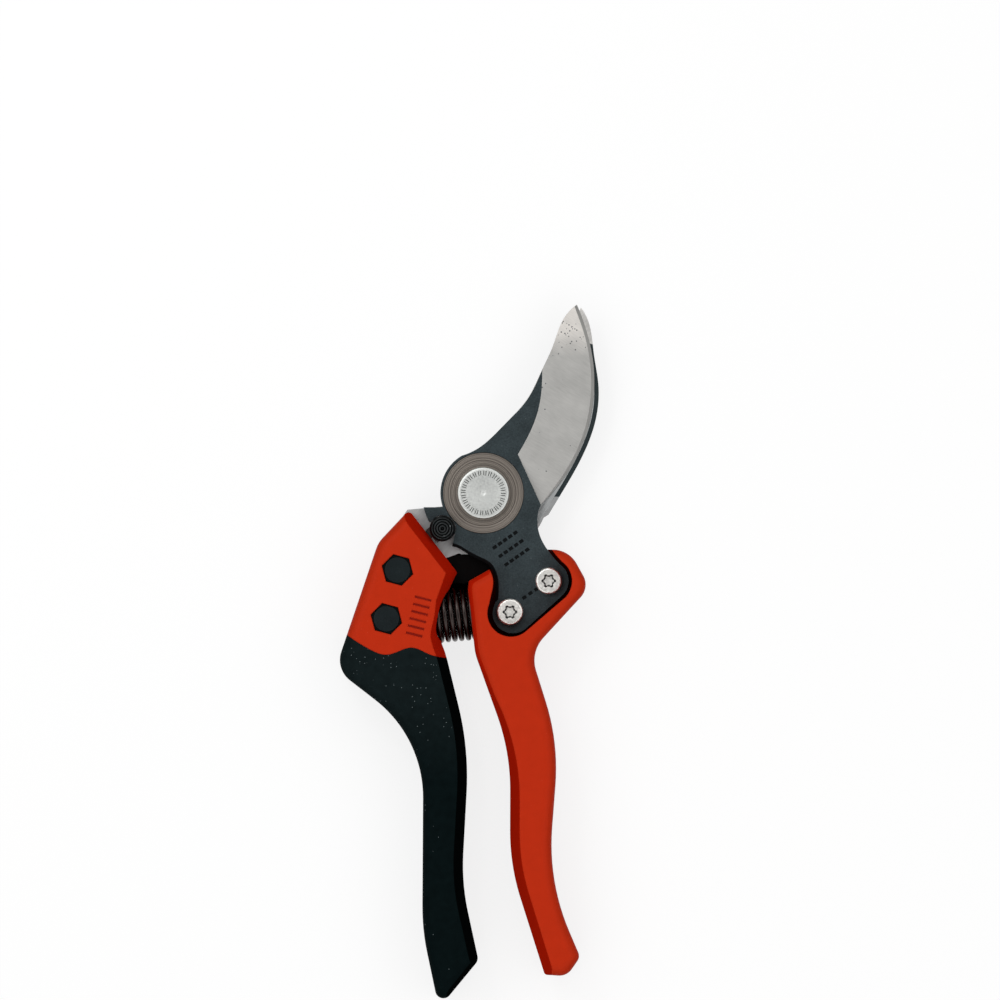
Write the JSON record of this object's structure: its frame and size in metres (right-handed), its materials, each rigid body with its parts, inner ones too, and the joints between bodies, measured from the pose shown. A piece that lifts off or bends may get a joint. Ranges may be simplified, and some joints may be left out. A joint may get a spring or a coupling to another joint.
{
  "type": "pruning shears",
  "caption": "Bypass pruning shears with a hooked counter blade, offset rubber-covered grip, coil opening spring and thumb catch, modelled closed.",
  "frame": {"origin": "centre of the pivot bolt's end face, in the plane that the shears lie on", "axes": "+Y towards the blade tips, +Z along the pivot axis towards the bolt's head, +X towards the one-piece handle; the cutting blade is on the front (+Z)"},
  "size_m": [0.07, 0.1875, 0.02],
  "materials": {
    "coated_plate": "dark non-stick coating, ground bevel",
    "hook_plate": "brushed, with a dark coated band",
    "bolt_steel": "bright zinc",
    "turned_ring": "fine turned lines",
    "spring_steel": "oiled spring steel",
    "zinc_steel": "bright zinc",
    "nylon": "natural nylon",
    "red_plastic": "satin glass-filled polyamide",
    "grip_rubber": "fine matt texture",
    "black_steel": "black oxide",
    "stop_rubber": "plain matt",
    "knob_plastic": "glossy, ridged"
  },
  "bodies": {
    "handle_side": {"counter_blade": "hook_plate", "pivot_bolt": "bolt_steel", "pivot_washer": "turned_ring", "disc_spring": "spring_steel", "pivot_nut": "zinc_steel", "nut_lock_ring": "nylon", "left_handle": "red_plastic", "soft_grip": "grip_rubber", "tang_bolts": "black_steel", "tang_nuts": "zinc_steel", "stop_buffer": "stop_rubber", "opening_spring": "spring_steel", "catch_leaf": "spring_steel"},
    "blade_side": {"cutting_blade": "coated_plate", "right_handle": "red_plastic", "blade_screws": "zinc_steel", "blade_nuts": "zinc_steel"},
    "catch": {"catch_bar": "black_steel", "catch_knob": "knob_plastic", "catch_rivet": "black_steel"}
  },
  "joints": [
    {"name": "blade_pivot", "type": "hinge", "parent": "handle_side", "child": "blade_side", "pos_m": [0, 0, 0], "axis": [0, 0, 1], "range_deg": [0, 30], "deforming": ["opening_spring"]},
    {"name": "catch_slide", "type": "slide", "parent": "handle_side", "child": "catch", "axis": [-0.7547, -0.6561, 0], "range_m": [-0.0028, 0]}
  ]
}
